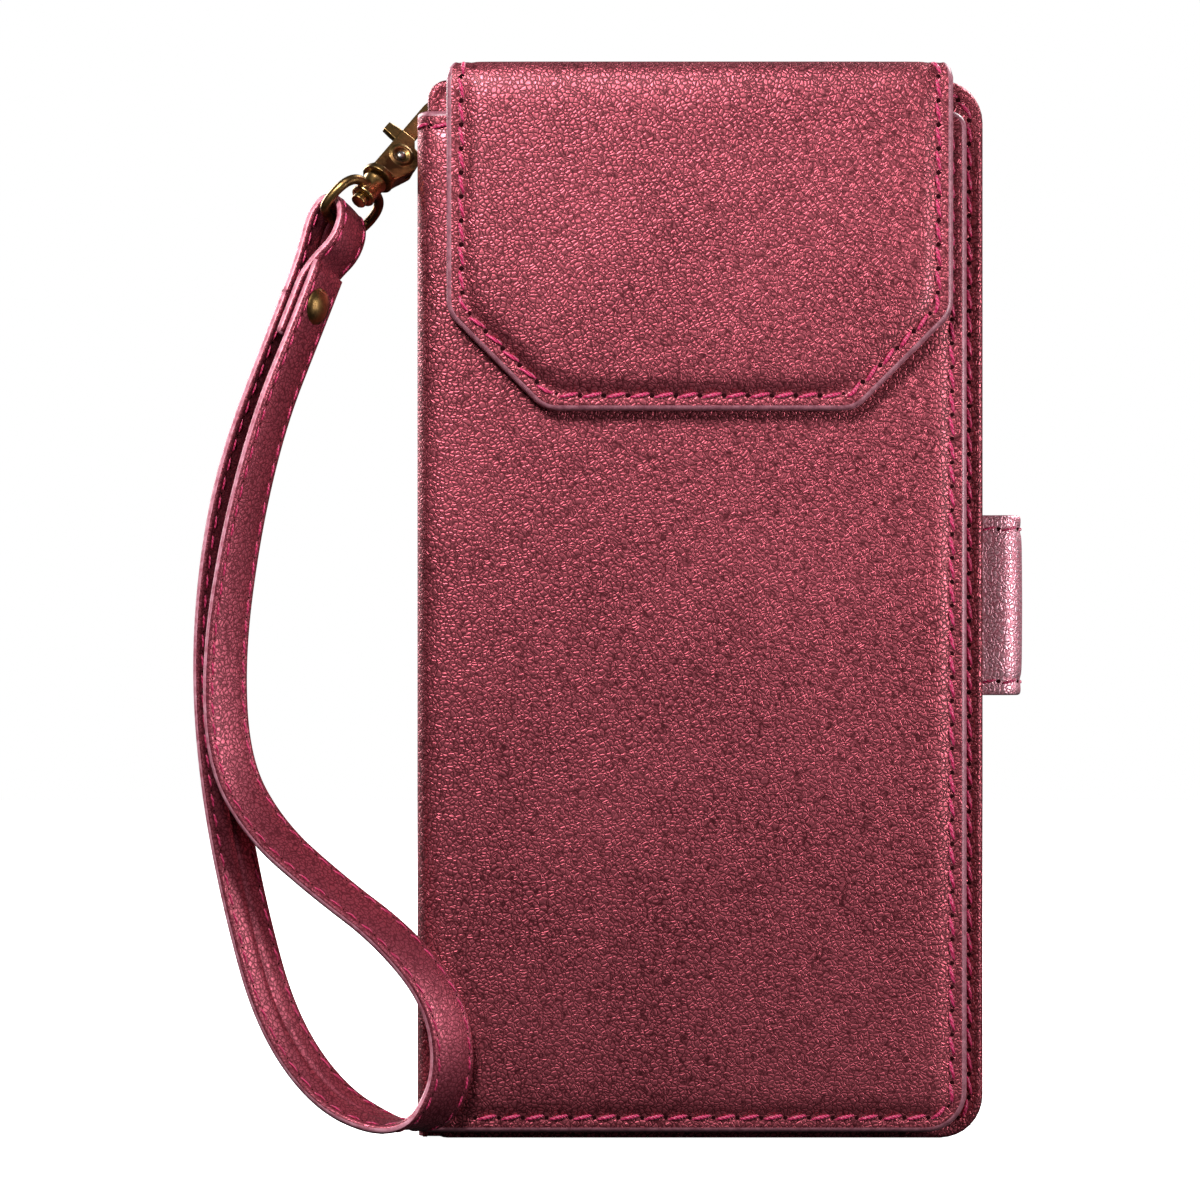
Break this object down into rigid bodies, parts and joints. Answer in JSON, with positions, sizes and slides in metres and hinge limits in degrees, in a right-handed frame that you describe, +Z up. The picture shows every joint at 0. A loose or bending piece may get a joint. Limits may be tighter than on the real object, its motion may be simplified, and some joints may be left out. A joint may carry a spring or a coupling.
{
  "type": "phone wallet case",
  "caption": "Book-style phone case with a padded flap pouch on its front cover, a folded closure strap and a wrist strap on a snap hook.",
  "frame": {"origin": "middle of the back cover's bottom edge, in the cover's middle plane", "axes": "+Z up the case, +X to the right of someone facing the flap, -Y out of the flap's face"},
  "size_m": [0.1227, 0.0377, 0.162],
  "materials": {
    "grained_leather": "pebbled, slightly metallic",
    "lining_cloth": "smooth matte",
    "stiff_board": "matte",
    "padding": "matte",
    "shell_plastic": "satin",
    "magnet_steel": "satin",
    "antique_brass": "aged, dark in its recesses",
    "pin_steel": "satin"
  },
  "bodies": {
    "back_cover": {"back_leather": "grained_leather", "back_board": "stiff_board", "back_lining": "lining_cloth", "phone_shell": "shell_plastic", "closure_root": "grained_leather", "parking_magnet": "magnet_steel"},
    "spine": {"spine_leather": "grained_leather", "spine_board": "stiff_board", "spine_lining": "lining_cloth"},
    "front_cover": {"front_leather": "grained_leather", "front_board": "stiff_board", "front_lining": "lining_cloth", "bill_pocket": "lining_cloth", "card_pocket_1": "lining_cloth", "card_pocket_2": "lining_cloth", "card_pocket_3": "lining_cloth", "pouch_leather": "grained_leather", "pouch_foam": "padding", "pouch_lining": "lining_cloth", "pouch_left_wall": "grained_leather", "pouch_gusset_right": "lining_cloth", "pouch_gusset_bottom": "lining_cloth", "pouch_magnet": "magnet_steel", "closure_catch": "magnet_steel", "flap_anchor": "lining_cloth", "ring_tab": "grained_leather"},
    "flap_bridge": {"bridge_lining": "lining_cloth", "bridge_leather": "grained_leather"},
    "flap": {"flap_lining": "lining_cloth", "flap_foam": "padding", "flap_leather": "grained_leather", "flap_magnet": "magnet_steel"},
    "closure_side": {"closure_facing": "grained_leather", "closure_filler": "padding", "closure_leather": "grained_leather"},
    "closure_tip": {"tip_facing": "grained_leather", "tip_filler": "padding", "tip_leather": "grained_leather", "tip_magnet": "magnet_steel"},
    "ring": {"strap_ring": "antique_brass"},
    "clasp": {"clasp_body": "antique_brass", "clasp_pin": "pin_steel", "clasp_spring": "pin_steel", "swivel_stud": "antique_brass"},
    "lever": {"clasp_lever": "antique_brass"},
    "bail": {"bail": "antique_brass"},
    "strap": {"wrist_strap": "grained_leather", "strap_fold": "grained_leather", "rivet_cap": "antique_brass", "rivet_base": "antique_brass"}
  },
  "joints": [
    {"name": "rear_crease", "type": "hinge", "parent": "back_cover", "child": "spine", "pos_m": [-0.0429, 0, 0], "axis": [0, 0, -1], "range_deg": [0, 90]},
    {"name": "front_crease", "type": "hinge", "parent": "spine", "child": "front_cover", "pos_m": [-0.0429, -0.0157, 0], "axis": [0, 0, -1], "range_deg": [0, 90]},
    {"name": "flap_rear_crease", "type": "hinge", "parent": "front_cover", "child": "flap_bridge", "pos_m": [0, -0.0179, 0.1613], "axis": [-1, 0, 0], "range_deg": [0, 90]},
    {"name": "flap_front_crease", "type": "hinge", "parent": "flap_bridge", "child": "flap", "pos_m": [0, -0.0266, 0.1613], "axis": [-1, 0, 0], "range_deg": [0, 90]},
    {"name": "closure_fold", "type": "hinge", "parent": "back_cover", "child": "closure_side", "pos_m": [0.0455, 0.0015, 0], "axis": [0, 0, -1], "range_deg": [0, 270]},
    {"name": "closure_tip_bend", "type": "hinge", "parent": "closure_side", "child": "closure_tip", "pos_m": [0.0175, 0.0032, 0], "axis": [0, 0, -1], "range_deg": [0, 90]},
    {"name": "ring_swing", "type": "hinge", "parent": "front_cover", "child": "ring", "pos_m": [-0.03215, -0.00708, 0.15361], "axis": [-0.3345, 0.8386, -0.4299], "range_deg": [0, 25]},
    {"name": "clasp_swing", "type": "hinge", "parent": "ring", "child": "clasp", "pos_m": [-0.0395, -0.0094, 0.1548], "axis": [-0.3345, 0.8386, -0.4299], "range_deg": [0, 60]},
    {"name": "lever_press", "type": "hinge", "parent": "clasp", "child": "lever", "pos_m": [-0.04666, -0.01556, 0.14837], "axis": [0.3345, -0.8386, 0.4299], "range_deg": [0, 20], "stiffness_Nm_per_rad": 0.004, "springref_deg": -17.19},
    {"name": "bail_swivel", "type": "hinge", "parent": "clasp", "child": "bail", "pos_m": [-0.04948, -0.01812, 0.14556], "axis": [0.515, 0.5447, 0.6618], "range_deg": [0, 60]},
    {"name": "strap_swing", "type": "hinge", "parent": "bail", "child": "strap", "pos_m": [-0.05574, -0.01961, 0.13869], "axis": [0.4216, 0.8131, -0.4015], "range_deg": [0, 40]}
  ],
  "couplings": [
    {"joint": "front_crease", "follows": "rear_crease", "ratio": 1},
    {"joint": "flap_front_crease", "follows": "flap_rear_crease", "ratio": 1}
  ]
}
